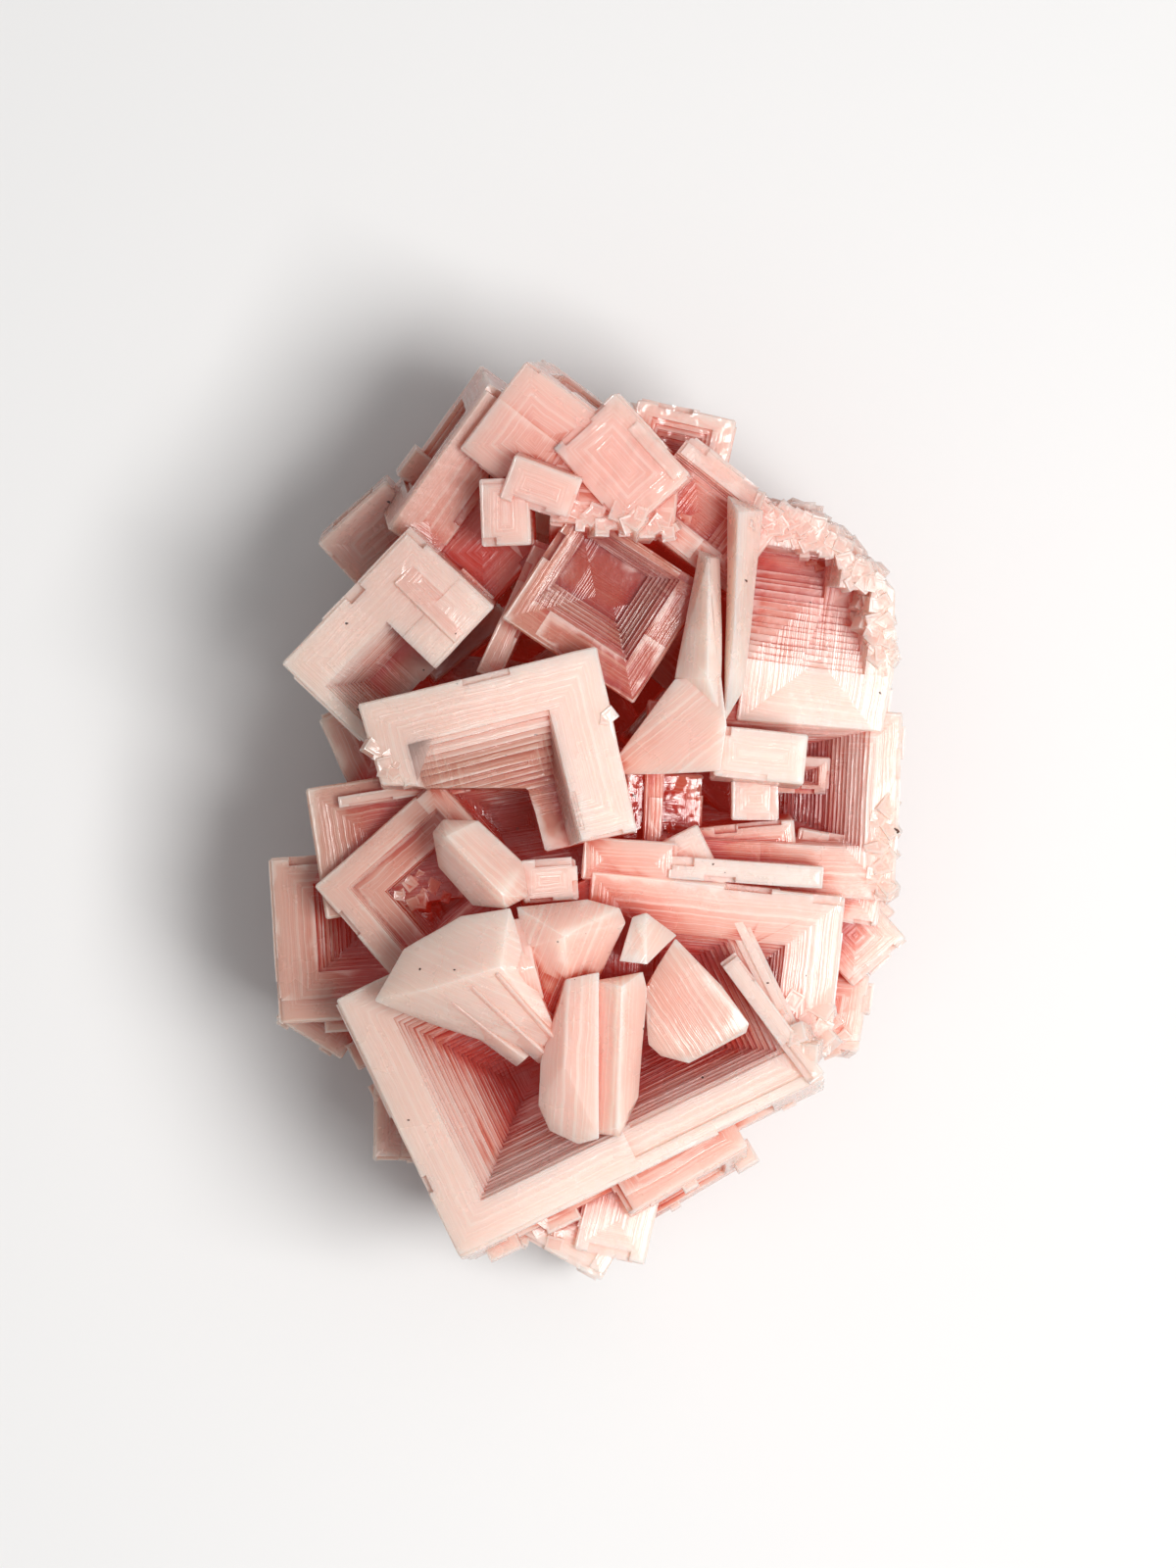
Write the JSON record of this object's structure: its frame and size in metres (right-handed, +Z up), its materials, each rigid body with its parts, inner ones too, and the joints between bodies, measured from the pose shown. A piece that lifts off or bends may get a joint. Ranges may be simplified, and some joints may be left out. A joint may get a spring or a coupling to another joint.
{
  "type": "halite crystal cluster",
  "caption": "Pink halite specimen: intergrown cubic hopper crystals with stepped pits, blades and ledges, on a flat broken base to rest on.",
  "frame": {"origin": "on the flat base, under the middle of the cluster's box", "axes": "+Z up from the base to the crystals, +Y along the cluster's length to the end with the glassy cube, +X across it to the side with the fin"},
  "size_m": [0.0692, 0.1015, 0.052],
  "materials": {
    "halite": "satin, translucent pink salt"
  },
  "bodies": {
    "root": {"halite_cluster": "halite"}
  },
  "joints": []
}
